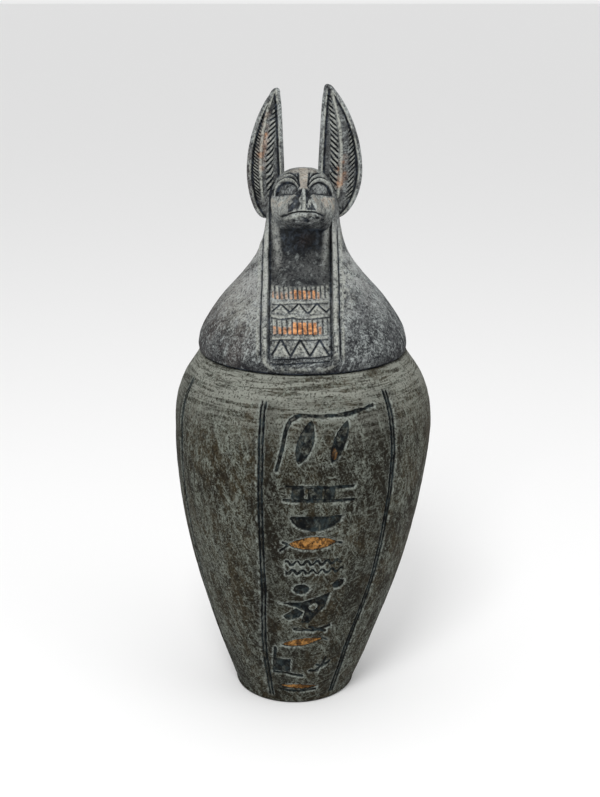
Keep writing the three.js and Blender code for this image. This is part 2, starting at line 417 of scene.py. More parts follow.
def makeJar():
    # The outline runs from under the foot up the wall, over the rim, down inside and along the floor. It
    # is turned round in columns, closer together in the strips, and then carved along the wall's radius.
    edge, rim, top = (jar[key] for key in ("footEdge", "rimEdge", "height"))
    floorAt, mouth = (jar[key] for key in ("floor", "mouthRadius"))
    foot = rounding(wallRadius(edge) - edge, edge, edge, -90, -12)
    heights = np.linspace(edge, top - rim, 900)
    wall = np.column_stack([wallRadius(heights), heights])
    lip = rounding(wall[-1, 0] - rim, top - rim, rim, 30, 90)
    outside = evenly(np.concatenate([foot, wall[1:], lip]), jar["rows"])
    under = np.column_stack([np.linspace(0.2, 1, 4) * foot[0, 0], np.zeros(4)])[:-1]
    neck = top - jar["neck"]
    inner = np.linspace(neck, floorAt + jar["floorEdge"], 16)
    closing = (wallRadius(neck) - jar["wall"] - mouth) * ((inner - floorAt) / (neck - floorAt)) ** 10
    hollowWall = np.column_stack([wallRadius(inner) - jar["wall"] - closing, inner])
    inside = np.array([[mouth + 6, top], [mouth + 0.6, top], [mouth, top - 0.6], [mouth, neck + 3]])
    base = hollowWall[-1, 0]
    bowl = np.array([[base - 1.6, floorAt + 1.6], [base - jar["floorEdge"], floorAt], [6, floorAt]])
    outline = np.concatenate([under, outside, inside, hollowWall, bowl])

    weight = lambda a: 0.55 + sum(
        share * (np.abs((a - middle + 180) % 360 - 180) < strips["half"] + 5)
        for share, middle in zip(strips["columnShares"], strips["middles"])
    )
    angles = spread(weight, -180, 180, jar["columns"] + 1)[:-1]
    angle, radius = np.meshgrid(angles, outline[:, 0])
    z = np.repeat(outline[:, 1][:, None], len(angles), axis=1)
    turn = np.radians(angle)
    lean = -jar["lean"] * np.clip(1 - z / jar["leanHeight"], 0, 1) ** jar["leanPower"]
    points = np.stack([radius * np.sin(turn), -radius * np.cos(turn), z], axis=-1)

    isWall = np.zeros(z.shape)
    isWall[len(under):len(under) + jar["rows"]] = 1
    isWall *= smooth(z, 0, 3)
    depth, dark, ochre, worn, shade = carveWall(angle, z, radius, points)
    sway = (grain(points, 38, 21) + 0.5 * grain(points, 17, 22)) * jar["sway"]
    sway -= jar["sway"] * 1.5  # hollows only, so that the wall stays inside its solid
    pecks = roughness(points * np.array([1, 1, 0.6]), 2.6, 31) * jar["pecks"] - jar["pecks"]
    nicks = -jar["nicks"] * smooth(roughness(points, 7, 41), 0.95, 1.4)
    lipFade = 1 - smooth(z, jar["height"] - 5, jar["height"] - 1)
    push = isWall * ((sway * lipFade + pecks + nicks) - depth)
    points[..., 0] += push * np.sin(turn) + lean
    points[..., 1] -= push * np.cos(turn)
    marks = dict(
        cut=dark * isWall,
        ochre=ochre * isWall,
        worn=worn * isWall,
        shade=shade * isWall + (1 - isWall) * 0.4,
    )
    piece = putMesh("jarBody", points, marks)
    thin(piece, jar["most"])
    return piece


bust = dict(
    seat=jarHigh[2] + 0.3,
    plugRadius=34.4,
    plugDepth=8,
    middle=-1.2,  # the opening between the lappets is centred here
    halfOpening=14.9,
    corner=3.2,  # rounding of the opening's lower corners
    sill=180.9,
    even=23.5,  # across this much of the front the columns are even in X
    ribFoot=(181, 187),  # where things begin or end, in Z
    ribTop=(232, 242),
    cordFoot=(215, 226),
    cordTop=(240, 246),
    underJawShadow=(221, 230),
    neckShade=(206, 214),
    jaw=12.3,  # the neck's cords stand this far from the middle, at the jaw's height
    jawHeight=239,
    cord=1.4,
    # The first rubbed place is a painted highlight on the left shoulder; the second is scratches beside the
    # right rib.
    rubbed=[(-29, 15, 201, 15, 0.5), (19, 7, 212, 17, 0.9)],  # X, half width, Z, half height, amount
    rows=240,
    frontColumns=150,
    sideColumns=170,
    sway=0.25,
    pecks=0.07,
    most=190000,
)

# Half width of the bust at heights, from the lower edge to the crown under the head.
wigProfile = [
    (48.6, bust["seat"]), (50.2, bust["seat"] + 1.6), (50.2, 183), (47.6, 190), (39.5, 202), (28.9, 214),
    (21.9, 224), (18.2, 236), (17.4, 245), (15.2, 253), (10, 259.4), (5, 262), (0.6, 262.5),
]

# The floor between the lappets: height, how far forward it stands, and the radius of its roundness across.
chestFloor = [
    (180.6, -49.4, 50), (184, -48, 50), (190, -44.4, 46), (197, -38.4, 40), (204, -31.8, 33),
    (211, -25.4, 26), (218, -20.2, 19), (225, -17.2, 16), (233, -15.6, 15), (246, -14.8, 15), (264, -9, 15),
]

# The collar's bands from the top down. Ridges and grooves are [height, half width], bars are [low, high,
# step, half width, paint] and zigzags are [low, high, step, shift, line width].
collar = dict(
    half=13.6,
    ridges=[(205.9, 0.85), (200.6, 0.95), (192.4, 1.0)],
    bars=[(207.0, 211.9, 2.1, 0.6, 0.75), (193.6, 199.5, 2.3, 0.72, 1.0)],
    zigzags=[(201.6, 205.1, 8.3, 0.6, 0.75), (184.9, 191.5, 8.7, 0, 0.95)],
    grooves=[(183.9, 0.55), (181.9, 0.5)],
    dark=0.88,
)


def collarRelief(x, z, points):
    # The bands between the lappets, raised or sunk from the chest: ridges and grooves are bumps of the
    # height, bars are a repeated step of the way across, and a zigzag is the distance to a triangle wave.
    u = x - bust["middle"]
    dark, worn, ochre, rise = (np.zeros(x.shape) for _ in range(4))
    height = z + grain(points, 5, 51) * 0.35
    ragged = collar["half"] + grain(points, 3, 52) * 0.8  # where each band stops short of the lappets
    kept = 1 - smooth(np.abs(u), ragged - 0.8, ragged)
    for middle, width in collar["ridges"]:
        over = height - middle - 0.014 * u
        near = bump(over, 0, width) * kept
        under = bump(over, -width * 1.15, width * 0.8) * kept
        rise = rise + near * 0.55 - under * 0.35
        worn = np.maximum(worn, near)
        dark = np.maximum(dark, under * 0.85)
    for low, high, step, half, paint in collar["bars"]:
        band = smooth(height, low - 0.3, low + 0.3) * (1 - smooth(height, high - 0.5, high + 0.5)) * kept
        lean = (height - low) * 0.06
        apart = np.abs(((u + lean) / step + 0.5) % 1 - 0.5) * step
        bars = 1 - smooth(apart, half - 0.25, half + 0.3)
        rise = rise + band * (bars * 0.6 - 0.3)
        dark = np.maximum(dark, band * (1 - bars) * 0.8)
        middle = 1 - smooth(np.abs(u - 1.8), 4.5, 7)
        lower = (1 - smooth(height, low + 2.6, low + 3.8)) * (1 - smooth(u, 8, 12))
        painted = np.maximum(middle * (1 - smooth(height, high - 1.8, high - 0.4)), lower * 0.6)
        painted = painted * (0.65 + 0.35 * smooth(roughness(points, 2.5, 53, 2), -0.6, 0.5))
        ochre = np.maximum(ochre, band * paint * painted * (0.12 + 0.88 * bars))
        worn = np.maximum(worn, band * bars * (1 - painted))
    for low, high, step, shift, width in collar["zigzags"]:
        band = smooth(height, low - 0.2, low + 0.2) * (1 - smooth(height, high - 0.2, high + 0.2)) * kept
        phase = np.abs(((u + shift) / step + 0.5) % 1 - 0.5) * 2
        tall = high - low
        edge = np.abs((height - low) / tall - (1 - phase)) * tall / np.hypot(1, tall * 2 / step)
        zig = 1 - smooth(edge, width * 0.3, width * 0.75)
        rise = rise - band * zig * 0.6
        dark = np.maximum(dark, band * zig)
        beside = smooth(width * 2.0 - edge, 0, width * 0.6)
        under = smooth((height - low) / tall, 1.05 - phase, 0.95 - phase)
        worn = np.maximum(worn, band * (1 - zig) * (0.2 + 0.3 * under + 0.5 * beside))
    for middle, width in collar["grooves"]:
        groove = bump(height, middle + 0.06 * u, width * 1.6) * kept
        rise = rise - groove * 0.5
        dark = np.maximum(dark, groove)
    return rise, dark * collar["dark"], ochre, worn


def makeBust():
    # The wig's profile and its plug are turned round. Between the lappets the skin is then pushed back to
    # the chest's floor, by an S-curve of the distance to the opening's edge.
    seat, deep, plug = bust["seat"], bust["plugDepth"], bust["plugRadius"]
    curve = along(wigProfile, np.linspace(0, 1, 700))
    length = lengths(curve)
    onCollar = lambda s: 1 + 1.6 * ((s > 3) & (s < 46))  # rows are closer together there
    outside = pointsAt(curve, spread(onCollar, 0, length[-1], bust["rows"]))
    plugLine = np.array([
        (8, seat - deep), (plug - 1, seat - deep), (plug - 0.3, seat - deep + 0.3),
        (plug, seat - deep + 1), (plug, seat - 0.5), (plug + 0.6, seat), (plug + 8, seat),
    ])
    outline = np.concatenate([plugLine, outside])
    radius, z = outline[:, :1], outline[:, 1:]

    # Columns are even in X across the opening and its ribs, then even in angle round the back.
    reach = np.minimum(bust["even"], 0.9 * radius)
    front = spread(lambda c: 1 + 1.2 * (np.abs(np.abs(c) - 0.68) < 0.12), -1, 1, bust["frontColumns"])
    frontAngle = np.arcsin(front[None, :] * reach / radius)
    reachAngle = np.arcsin(reach / radius)
    back = np.linspace(0, 1, bust["sideColumns"] + 2)[1:-1]
    backAngle = reachAngle + (2 * np.pi - 2 * reachAngle) * back[None, :]
    turn = np.concatenate([frontAngle, backAngle], axis=1)
    radius = np.repeat(radius, turn.shape[1], axis=1)
    z = np.repeat(z, turn.shape[1], axis=1)
    x, y = radius * np.sin(turn), -radius * np.cos(turn)
    points = np.stack([x, y, z], axis=-1)

    isSkin = np.zeros(z.shape)
    isSkin[len(plugLine):] = 1
    # Distance to the edge of the opening, over the profile's own length, with rounded lower corners.
    run = np.interp(z, curve[:, 1], length) - np.interp(bust["sill"], curve[:, 1], length)
    qx = np.abs(x - bust["middle"]) - bust["halfOpening"] + bust["corner"]
    qs = -run + bust["corner"]
    edge = np.hypot(np.maximum(qx, 0), np.maximum(qs, 0)) + np.minimum(np.maximum(qx, qs), 0) - bust["corner"]
    isFront = (y < 0) & (isSkin > 0)
    edge = np.where(isFront, edge, 99) + roughness(points, 8, 61) * 0.2

    floorCurve = along(chestFloor, np.linspace(0, 1, 400))
    forward = np.interp(z, floorCurve[:, 0], floorCurve[:, 1])
    across = np.interp(z, floorCurve[:, 0], floorCurve[:, 2])
    floorY = forward + (x - bust["middle"]) ** 2 / (2 * across)
    inside = smooth(-edge, -0.25, 0.35) * isFront
    slope = np.gradient(floorCurve[:, 1], floorCurve[:, 0])
    slopeHere = np.interp(z, floorCurve[:, 0], slope)
    rise, dark, ochre, worn = collarRelief(x, z, points)
    # The neck's two cords: ridges that run down from the jaw and draw together.
    jaw = bust["jaw"] - (bust["jawHeight"] - z) * 0.07
    cords = bump(np.abs(x - bust["middle"] - 0.6), jaw, 3.0)
    cords = cords * smooth(z, *bust["cordFoot"]) * (1 - smooth(z, *bust["cordTop"]))
    rise = rise + bust["cord"] * cords
    sunkY = floorY - rise / np.sqrt(1 + slopeHere ** 2)
    sunkZ = z - rise * slopeHere / np.sqrt(1 + slopeHere ** 2)
    points[..., 1] = np.where(isFront, y + (np.maximum(sunkY, y) - y) * inside, y)
    points[..., 2] = z + (sunkZ - z) * inside * 0.6

    # Two ribs with a groove between them run up beside the opening; only the inner one turns under it.
    fade = isFront * (1 - smooth(z, *bust["ribTop"]))
    upright = smooth(z, *bust["ribFoot"])
    rib = bump(edge, 1.3, 1.5) * 0.55
    rib = rib - bump(edge, 3.25, 0.8) * 0.65 * upright + bump(edge, 4.4, 0.9) * 0.3 * upright
    rib = rib * fade
    chips = smooth(grain(points, 2.5, 62) + 0.6 * grain(points, 1.1, 63), -0.9, 0.1)
    groove = bump(edge, 3.25, 0.8) * fade * upright
    ribWorn = np.maximum(bump(edge, 1.2, 1.7), 0.75 * bump(edge, 4.5, 1.1) * upright) * fade * chips
    ribWorn = ribWorn * (0.5 + 0.5 * smooth(z, 180, 184))
    sway = (grain(points, 30, 71) + 0.5 * grain(points, 13, 72)) * bust["sway"] - bust["sway"] * 1.5
    pecks = roughness(points, 2.2, 81) * bust["pecks"] - bust["pecks"]
    away = isSkin * smooth(z, seat, seat + 2)
    push = away * (sway * (1 - inside) + pecks) + rib * (1 - inside)
    points[..., 0] += push * np.sin(turn)
    points[..., 1] -= push * np.cos(turn)
    onFloor = inside * smooth(z, 180.5, 181.5)
    # Painted shade on the chest floor along the foot of the opening's inner walls, carried in the cut mark.
    foot = bump(edge, -0.9, 1.3) * smooth(z, 182, 184) * isFront
    # Two pale places on the shoulders: a painted highlight on the left one, and a scratched rubbed place
    # beside the right rib.
    scraped = smooth(grain(points * np.array([1.6, 1, 0.7]), 1.4, 64), -0.2, 0.3)
    shoulderHighlight, scored = (isFront * amount * bump(x, at, wide) * bump(z, up, tall)
                    for at, wide, up, tall, amount in bust["rubbed"])
    rubbed = shoulderHighlight * chips + scored * scraped
    # Painted shade along the lid's lower edge, at the seam with the jar.
    lowerEdgeShade = (1 - smooth(z, seat + 0.6, seat + 1.6)) * isSkin
    # Painted shadow: the top of the neck, under the jaw, is darkened through the cut mark.
    underJawShadow = 0.72 * smooth(z, *bust["underJawShadow"]) * onFloor * (1 - cords)
    neckShade = inside * smooth(z, *bust["neckShade"]) * (1 - 0.5 * cords)
    # The cut mark holds the carved grooves and also painted shade: along the opening's inner walls, at the
    # lid's lower edge and under the jaw.
    marks = dict(
        cut=np.maximum.reduce([dark * onFloor, groove, foot * 0.8, lowerEdgeShade, underJawShadow]),
        ochre=np.maximum(ochre, 0.24 * bump(x, 1, 12) * bump(z, 232, 9) * chips) * onFloor,
        # The worn mark also holds the painted highlight on the left shoulder.
        worn=np.maximum.reduce([
            worn * onFloor * (0.35 + 0.65 * chips),
            ribWorn * (1 - inside),
            0.4 * cords * chips * inside,
            rubbed * (1 - inside),
        ]),
        shade=np.maximum(neckShade, 0.45 * (1 - smooth(z, 178, 184))) + (1 - isSkin),
    )
    piece = putMesh("bust", points, marks)
    thin(piece, bust["most"])
    return piece


# How far back, half width, top, bottom, and how much the section narrows upwards.
headSections = [
    (9, 0.3, 249.3, 248.7, 0), (8.6, 9.5, 258, 236, 0), (7, 13.6, 261.4, 231, 0), (0, 15.2, 263.5, 229, 0),
    (-8, 15.2, 263.2, 230, 0.04), (-12.4, 14.8, 261.8, 233, 0.12), (-15.4, 14.2, 260.2, 236.4, 0.26),
    (-18.4, 13.4, 259.4, 238.6, 0.52), (-23, 12.4, 259, 240.2, 0.68), (-29, 11.3, 258.9, 241.2, 0.72),
    (-34.4, 10.4, 258.8, 242.2, 0.72), (-37.4, 9, 258, 243.8, 0.66), (-38.8, 5.4, 255.2, 246.8, 0.45),
    (-39.2, 0.3, 251.4, 251, 0),
]

# Places on the face are [across from its middle, up], on a plane square to a carver's eye in front and above.
face = dict(
    middle=0.36,
    carver=(-1.3, -600, 336.5),
    tilt=17.2,
    planeAt=578,
    planeUp=144.16,
    eye=(8.0, 237.2),
    eyeSize=(5.0, 5.7),
    ball=(8.1, 2.4),  # across, and above the lower lid
    ballSize=(3.9, 3.2),
    foldSizes=[(6.1, 7.9), (7.1, 10.1)],
    lidFall=0.15,  # the flat lower lid falls outwards
    bridgeHeights=[236, 239, 240.5, 247],
    bridgeHalves=[4.3, 2.8, 2.0, 2.35],
    nostril=[(0.8, 239.6), (4.6, 237.0), (3.4, 235.7), (1.4, 235.5)],
    fanHeights=[227, 229.5, 233.4, 236.2, 238.6],  # the shaded muzzle, between the nose and the mouth
    fanLeft=[8.8, 8.4, 7.0, 3.9, 2.2],
    fanRight=[6.3, 5.8, 4.8, 3.8, 2.2],
    mouth=228.3,
    mouthHalf=(10.4, 9.2),
    snout=(13, 17),  # where the muzzle and its tip begin, toward -Y
    tip=(20, 24),
    bridgeFoot=(238.6, 240),  # where things begin or end, up the face
    bridgeTop=(246.2, 247.6),
    septumTop=(238.4, 239.6),
    fanTop=(238.2, 239),
    fanLineTop=(238.5, 239.5),
    cheekFoot=(222, 233),
    jawEnd=(219.5, 223),
    lineWidth=0.52,
    rows=330,
    columns=280,
    most=180000,
)


def seen(x, y, z):  # a point's shadow on the face's plane, thrown from the carver's eye
    turn = math.radians(face["tilt"])
    eyeX, eyeY, eyeZ = face["carver"]
    depth = (y - eyeY) * math.cos(turn) - (z - eyeZ) * math.sin(turn)
    up = (y - eyeY) * math.sin(turn) + (z - eyeZ) * math.cos(turn)
    shrink = face["planeAt"] / depth
    return eyeX + (x - eyeX) * shrink, face["planeUp"] + up * shrink


def makeHead():
    # Sections with rounded-square sides, a power of the sine and cosine, run back to front. The face is
    # then cut along the skin's own normals, each line by a bump of the distance to it.
    density = lambda p: 1 + (p > 0.3) + 1.2 * ((p > 0.34) & (p < 0.56)) + 0.8 * (p > 0.84)
    place = spread(density, 0, 1, face["rows"])
    y, half, top, bottom, narrowing = along(headSections, place).T[:, :, None]
    turn = spread(lambda a: 1 + 1.2 * (np.cos(a) > -0.45), -np.pi, np.pi, face["columns"] + 1)[:-1][None, :]
    power = lambda value, exponent: np.sign(value) * np.abs(value) ** exponent
    side = power(np.sin(turn), 0.82)
    lift = power(np.cos(turn), 0.88)
    x = half * (1 - narrowing * (lift + 1) / 2) * side
    z = (top + bottom) / 2 + (top - bottom) / 2 * lift
    y = y + 0 * x
    points = np.stack([x, y, z], axis=-1)
    across = np.roll(points, -1, axis=1) - np.roll(points, 1, axis=1)
    out = np.cross(np.gradient(points, axis=0), across)
    out /= np.linalg.norm(out, axis=-1, keepdims=True) + 1e-9
    out *= np.sign((out * (points - points.mean(axis=(0, 1)))).sum())  # outward

    jitter = roughness(points, 4, 89, 2)
    u, w = seen(x, y, z)
    u = u - face["middle"] + 0.15 * jitter
    w = w + 0.12 * np.roll(jitter, 9, axis=1)
    ax = np.abs(u)
    front = (y < -5) * 1.0  # the back of the head stays plain
    snout = smooth(-y, *face["snout"])
    lidLine = face["eye"][1] - face["lidFall"] * (ax - 3.2)
    over = np.maximum(w - lidLine, 0)

    def arch(size):  # distance from a half oval that stands on the lower lid
        wide, tall = size
        return (np.hypot((ax - face["eye"][0]) / wide, over / tall) - 1) * wide

    openEye = np.maximum(arch(face["eyeSize"]), lidLine - w)
    inEye = smooth(-openEye, -0.1, 0.5) * front
    ballAcross = (ax - face["ball"][0]) / face["ballSize"][0]
    ballUp = (w - lidLine - face["ball"][1]) / face["ballSize"][1]
    ball = np.clip(1 - ballAcross ** 2 - ballUp ** 2, 0, 1) ** 0.6
    rimLine = bump(openEye, -0.05, face["lineWidth"] * 1.5) * front
    bridgeHalf = np.interp(w, face["bridgeHeights"], face["bridgeHalves"])
    above = front * smooth(w, lidLine - 0.4, lidLine + 0.6) * smooth(ax - bridgeHalf, 0.2, 0.9)
    folds = 0
    for size in face["foldSizes"]:
        folds = np.maximum(folds, bump(arch(size), 0, face["lineWidth"] * 1.5))
    folds = folds * above
    bridgeLine = bump(ax - bridgeHalf, 0.35, 1.0) * front
    bridgeLine = bridgeLine * smooth(w, *face["bridgeFoot"]) * (1 - smooth(w, *face["bridgeTop"]))
    underLid = bump(lidLine - w, 0.5, 0.6) * front
    underLid = underLid * (1 - smooth(arch(face["eyeSize"]), 0.4, 1.2)) * smooth(ax, 3, 4)
    lids = bump(arch(face["eyeSize"]), 1.0, 0.8) * above
    push = -1.3 * inEye + 1.15 * ball * inEye - 0.6 * rimLine - 1.0 * folds - 0.8 * bridgeLine + 0.5 * lids

    drop = np.where(u < 0, 0.0195 * u ** 2, 0.00023 * u ** 4)  # the mouth falls to its corners
    mouthAt = w - face["mouth"] + drop
    mouthEnd = np.where(u < 0, *face["mouthHalf"])
    slit = bump(mouthAt, 0, 0.8 + 0.5 * smooth(ax, 6, 9)) * snout * (1 - smooth(ax, mouthEnd, mouthEnd + 0.7))
    lips = bump(mouthAt, -1.7, 1.3) * snout * (1 - smooth(ax, mouthEnd - 2, mouthEnd))
    tipward = smooth(-y, *face["tip"])
    hole = smooth(-patch(ax, w, face["nostril"]), -0.45, 0.25) * tipward
    septum = (1 - smooth(np.abs(u - 0.1 - 0.3 * jitter), 0.5, 1.0)) * smooth(mouthAt, 0.3, 1) * tipward
    septum = septum * (1 - smooth(w, *face["septumTop"]))
    fanSides = (np.interp(w, face["fanHeights"], face[key]) for key in ("fanLeft", "fanRight"))
    fanHalf = np.where(u < 0, *fanSides)
    fanEdge = ax - fanHalf - 0.25 * jitter
    overMouth = smooth(mouthAt, 0.5, 1.2)
    fan = overMouth * (1 - smooth(w, *face["fanTop"])) * (1 - smooth(fanEdge, -0.4, 0.2)) * snout
    fanLine = bump(fanEdge, 0.5, 0.7) * overMouth * (1 - smooth(w, *face["fanLineTop"])) * snout
    streaky = smooth(roughness(np.stack([u * 1.2, w * 0.7, 0 * u], axis=-1), 1.6, 88, 2), -0.1, 0.7)
    push = push - 1.2 * slit + 0.4 * lips - 0.8 * hole
    push = push - 0.4 * fan * (1 - septum) + 0.3 * septum + 0.2 * fanLine
    chin = smooth(-mouthAt, 0.9, 2.0) * snout
    push = push - chin * np.abs(roughness(points, 2.2, 91)) * 0.9
    push = push + roughness(points, 5, 95, 2) * 0.12 + roughness(points, 1.5, 97, 2) * 0.06 - 0.12
    points += out * push[..., None]

    patchy = smooth(roughness(points, 2.2, 99), -0.7, 0.4)
    bridge = (1 - smooth(ax - bridgeHalf, -0.5, 0)) * front * smooth(w, 238.6, 239.6)
    cheek = smooth(lidLine - w, 0.5, 1.1) * smooth(w, *face["cheekFoot"]) * front * (1 - fan)
    jawShade = (1 - smooth(w, *face["jawEnd"])) * front
    # Carved lines and hollows, and painted shade under the jaw and on the muzzle between the nose and the
    # mouth.
    grooves = np.maximum.reduce([
        slit,
        hole,
        rimLine * 0.95,
        folds * 0.95,
        bridgeLine * 0.95,
        underLid * 0.5,
        inEye * (0.66 - 0.3 * ball),
        jawShade * 0.9,
        fan * (0.76 - 0.5 * streaky),
        chin * (1 - patchy) * 0.85,
    ])
    rubbed = np.maximum.reduce([
        bridge * 0.8,
        cheek * (0.3 + 0.5 * patchy),
        lids * 0.9,
        septum * (0.4 + 0.6 * patchy),
        lips * 0.8 * patchy,
        fan * 0.55 * streaky,
        fanLine * 0.7,
        above * (1 - folds) * (1 - inEye) * (0.15 + 0.5 * patchy),
        smooth(w, 245, 246.5) * (0.15 + 0.35 * patchy),
    ])
    marks = dict(
        cut=np.clip(grooves * (1 - 0.85 * septum), 0, 1),
        ochre=np.maximum.reduce([0.24 * bridge, 0.24 * cheek * patchy, 0.2 * smooth(w, 245, 247) * front]),
        worn=np.clip(rubbed, 0, 1),
        shade=(1 - smooth(z, 238, 249)) * 0.75,
    )
    piece = putMesh("jackalHead", points, marks)
    thin(piece, face["most"])
    return piece


# An ear is a pointed leaf, hollowed at the front, with a rib and rows of barbs beside it.
ear = dict(
    bottom=239.5,
    widest=262,
    upperPower=1.6,
    upperCurve=0.62,
    tipRound=1.8,
    back=5.2,
    front=3.4,
    rim=1.9,
    ribFoot=(246, 252),
    ribEnd=(0.86, 0.95),  # as a share of the way from the widest place to the tip
    hollow=2.4,
    y=0.6,
    rows=320,
    frontColumns=200,
    backColumns=60,
    most=150000,
)
# rib: where it stands across the ear, low and high. paint: the height of its middle, and its reach.
# barbs: nearest, furthest and spacing, on the rib's side toward the head and then on its outer side.
earSides = [
    dict(name="leftEar", sign=-1, mid=17.35, half=8.75, tip=299.2, tipX=11.95, bend=2.1,
         rootShift=2.9, lowerCurve=0.2, rib=(0.26, 0.34),
         barbs=((2.4, 6.0, 2.65), (0.9, 3.7, 1.55)), paint=(275, 22)),
    dict(name="rightEar", sign=1, mid=17.4, half=10.3, tip=lidTop - 0.1, tipX=11.3, bend=2.2,
         rootShift=4.6, lowerCurve=0.28, rib=(0.02, 0.2),
         barbs=((1.2, 5.0, 2.5), (3.6, 6.4, 2.15)), paint=(262, 18)),
]


def makeEar(side):
    # Half width: a power curve down from the tip and another up from the root, the tip itself a small round.
    # The front is hollowed by an S-curve of the distance from the rim; barbs are a sawtooth up the rib.
    rows = spread(lambda h: 1 + 2.5 * (h < 0.02) + 2.5 * (h > 0.985), 0, 1, ear["rows"])
    rows[0], rows[-1] = 0.0006, 0.9994  # a little short of both ends, which putMesh closes
    z = (ear["bottom"] + rows * (side["tip"] - ear["bottom"]))[:, None]
    above = np.clip((z - ear["widest"]) / (side["tip"] - ear["widest"]), 0, 1)
    below = np.clip((ear["widest"] - z) / (ear["widest"] - ear["bottom"]), 0, 1)
    half = side["half"] * (1 - above ** ear["upperPower"]) ** ear["upperCurve"]
    half = half * (1 - below ** 2) ** side["lowerCurve"]
    left = side["tip"] - z
    roundTip = np.sqrt(np.clip(left * (2 * ear["tipRound"] - left), 0, None))
    half = (half ** 4 + roundTip ** 4) ** 0.25
    mid = side["mid"] - (side["mid"] - side["tipX"]) * above ** side["bend"] - side["rootShift"] * below ** 2
    v = np.linspace(-1, 1, ear["frontColumns"])
    frontAcross = 0.35 * v + 0.65 * np.sin(np.pi / 2 * v)
    backAcross = -np.sin(np.pi / 2 * np.linspace(-1, 1, ear["backColumns"] + 2)[1:-1])
    across = np.concatenate([frontAcross, backAcross])[None, :]
    isFront = np.concatenate([np.ones(len(frontAcross)), np.zeros(len(backAcross))])[None, :]
    through = np.sqrt(np.clip(1 - across ** 2, 0, 1))
    thinner = (half / side["half"]) ** 0.7 * (1 - 0.45 * above)
    fromRim = half * (1 - np.abs(across))
    x = side["sign"] * (mid + half * across)
    z = z + 0 * x
    flat = np.stack([x, isFront + 0 * x, z], axis=-1)
    ragged = roughness(flat, 3, 109, 2) * 0.35
    inside = smooth(fromRim + ragged * 0.5, ear["rim"] - 0.3, ear["rim"] + 0.6) * isFront
    dish = 0.6 + 0.4 * smooth(fromRim, ear["rim"], ear["rim"] + 3)

    ribAt = side["rib"][0] + (side["rib"][1] - side["rib"][0]) * above
    fromRib = half * (across - ribAt) + ragged * 0.5
    away = np.abs(fromRib)
    ribStart = smooth(z, *ear["ribFoot"]) * (1 - smooth(above, *ear["ribEnd"]))
    rib = (1 - smooth(away, 0.35, 1.0)) * inside * ribStart
    sway = grain(flat, 7, 111) * 0.5
    bold = 0.35 + 0.65 * smooth(grain(flat, 2.6, 113), -0.5, 0.3)
    barbs = 0
    gaps = 0
    for (nearest, furthest, step), toward in zip(side["barbs"], (fromRib < 0, fromRib >= 0)):
        furthest = furthest * np.clip(half / side["half"] + 0.12, 0, 1)
        band = smooth(away, nearest - 0.3, nearest + 0.4)
        band = band * (1 - smooth(away, furthest - 0.5, furthest + 0.4)) * toward
        band = band * inside * ribStart
        phase = (z - 0.7 * away - 0.05 * away ** 2 + ragged * 0.8 + sway) / step
        saw = np.abs((phase % 1) - 0.5) * 2
        barbs = barbs + smooth(saw, 0.3, 0.7) * band * bold
        gaps = gaps + (1 - smooth(saw, 0.2, 0.6)) * band
    channel = inside * (1 - smooth(fromRim, ear["rim"] + 0.9, ear["rim"] + 2.0))
    sunk = ear["hollow"] * thinner * inside * dish
    relief = 0.6 * rib + 0.55 * barbs - 0.45 * gaps
    depth = np.where(
        isFront > 0,
        -ear["front"] * thinner * through ** 0.5 + sunk - relief * inside,
        ear["back"] * thinner * through,
    )
    points = np.stack([x, ear["y"] + depth, z], axis=-1)
    wear = roughness(points, 1.4, 101, 2) * 0.1 + roughness(points, 9, 103, 2) * 0.12
    points[..., 1] += wear * through
    patchy = smooth(roughness(points, 4, 107), -0.5, 0.3)
    height, reach = side["paint"]
    wash = 0.3 + 0.22 * patchy + 0.4 * smooth(grain(flat, 3.2, 115), 0.1, 0.6) * bump(fromRib, 0, 4)
    paint = inside * bump(z, height, reach) * bump(fromRib, 0, 7.5) * wash
    edgeLight = bump(fromRim, ear["rim"] - 0.15, 0.7) * isFront * smooth(grain(points, 3, 105), -0.5, 0.3)
    marks = dict(
        cut=np.clip(np.maximum(channel * 0.85, gaps * 0.95) * (1 - rib), 0, 1),
        ochre=paint * 0.68,
        worn=np.clip(np.maximum.reduce([edgeLight, rib * 0.9, barbs * 0.75]), 0, 1),
        shade=inside * (0.4 + 0.35 * (1 - smooth(fromRim, ear["rim"] + 1, ear["rim"] + 4))),
    )
    if side["sign"] > 0:
        points = points[:, ::-1]
        marks = {label: values[:, ::-1] for label, values in marks.items()}
    piece = putMesh(side["name"], points, marks)
    thin(piece, ear["most"])
    return piece


def addNode(tree, kind, inputs=None, **settings):  # a node with its settings; sockets are linked or set
    made = tree.nodes.new(kind)
    for name, value in settings.items():
        setattr(made, name, value)
    for name, value in (inputs or {}).items():
        socket = made.inputs[name]
        if isinstance(value, bpy.types.NodeSocket):
            tree.links.new(value, socket)
        else:
            socket.default_value = value
    return made


def srgb(red, green, blue):  # screen values 0 to 255 as a linear colour, by the usual power curve
    scaled = [value / 255 for value in (red, green, blue)]
    linear = [value / 12.92 if value <= 0.04045 else ((value + 0.055) / 1.055) ** 2.4 for value in scaled]
    return (*linear, 1)


